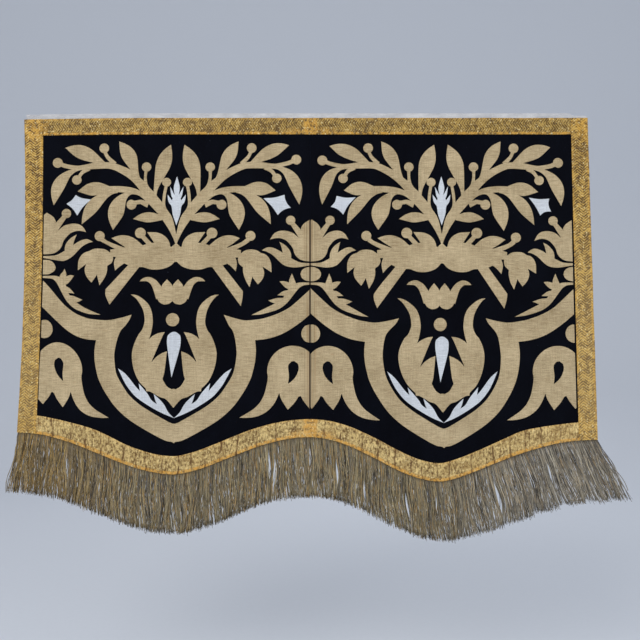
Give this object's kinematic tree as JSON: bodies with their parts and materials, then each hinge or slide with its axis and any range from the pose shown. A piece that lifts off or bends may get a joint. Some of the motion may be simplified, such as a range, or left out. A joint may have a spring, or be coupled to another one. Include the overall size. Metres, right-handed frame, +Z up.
{
  "type": "velvet wall hanging",
  "caption": "Hung black velvet panel with gold and silver foliate figures, gold galloon edging and a metal-thread fringe below a double scallop.",
  "frame": {"origin": "on the wall side, at the top end of the middle seam, on the upper edge of the heading that the hanging is held by", "axes": "+X to the right across the hanging as its face is looked at, +Y into the wall (the face looks along -Y), +Z up"},
  "size_m": [1.2668, 0.0044, 0.899],
  "materials": {
    "velvet": "short dense cut pile, near black",
    "gold_cloth": "dull gold tabby-woven metal thread",
    "silver_cloth": "pale silver tabby-woven metal thread",
    "galloon": "gold metal thread in a herringbone weave, tarnished in places",
    "fringe_thread": "twisted metal and silk threads, tarnished olive brown",
    "heading_cotton": "matt off-white cotton"
  },
  "bodies": {
    "root": {"fringe": "fringe_thread", "galloon_bottom": "galloon", "galloon_left": "galloon", "galloon_right": "galloon", "galloon_top": "galloon", "heading": "heading_cotton", "left_bell_l": "gold_cloth", "left_bell_r": "gold_cloth", "left_branches": "gold_cloth", "left_crown": "gold_cloth", "left_dot": "gold_cloth", "left_drop": "silver_cloth", "left_edge_dot_l": "gold_cloth", "left_edge_dot_r": "gold_cloth", "left_edge_oval_l": "gold_cloth", "left_edge_oval_r": "gold_cloth", "left_flame": "silver_cloth", "left_flower_l": "gold_cloth", "left_flower_r": "gold_cloth", "left_saw_leaf_l": "gold_cloth", "left_saw_leaf_r": "gold_cloth", "left_scroll": "gold_cloth", "left_spray_l": "silver_cloth", "left_spray_r": "silver_cloth", "left_star_l": "silver_cloth", "left_star_r": "silver_cloth", "left_tulip": "gold_cloth", "left_wing_l": "gold_cloth", "left_wing_r": "gold_cloth", "right_bell_l": "gold_cloth", "right_bell_r": "gold_cloth", "right_branches": "gold_cloth", "right_crown": "gold_cloth", "right_dot": "gold_cloth", "right_drop": "silver_cloth", "right_edge_dot_l": "gold_cloth", "right_edge_dot_r": "gold_cloth", "right_edge_oval_l": "gold_cloth", "right_edge_oval_r": "gold_cloth", "right_flame": "silver_cloth", "right_flower_l": "gold_cloth", "right_flower_r": "gold_cloth", "right_saw_leaf_l": "gold_cloth", "right_saw_leaf_r": "gold_cloth", "right_scroll": "gold_cloth", "right_spray_l": "silver_cloth", "right_spray_r": "silver_cloth", "right_star_l": "silver_cloth", "right_star_r": "silver_cloth", "right_tulip": "gold_cloth", "right_wing_l": "gold_cloth", "right_wing_r": "gold_cloth", "velvet_left": "velvet", "velvet_right": "velvet"}
  },
  "joints": []
}
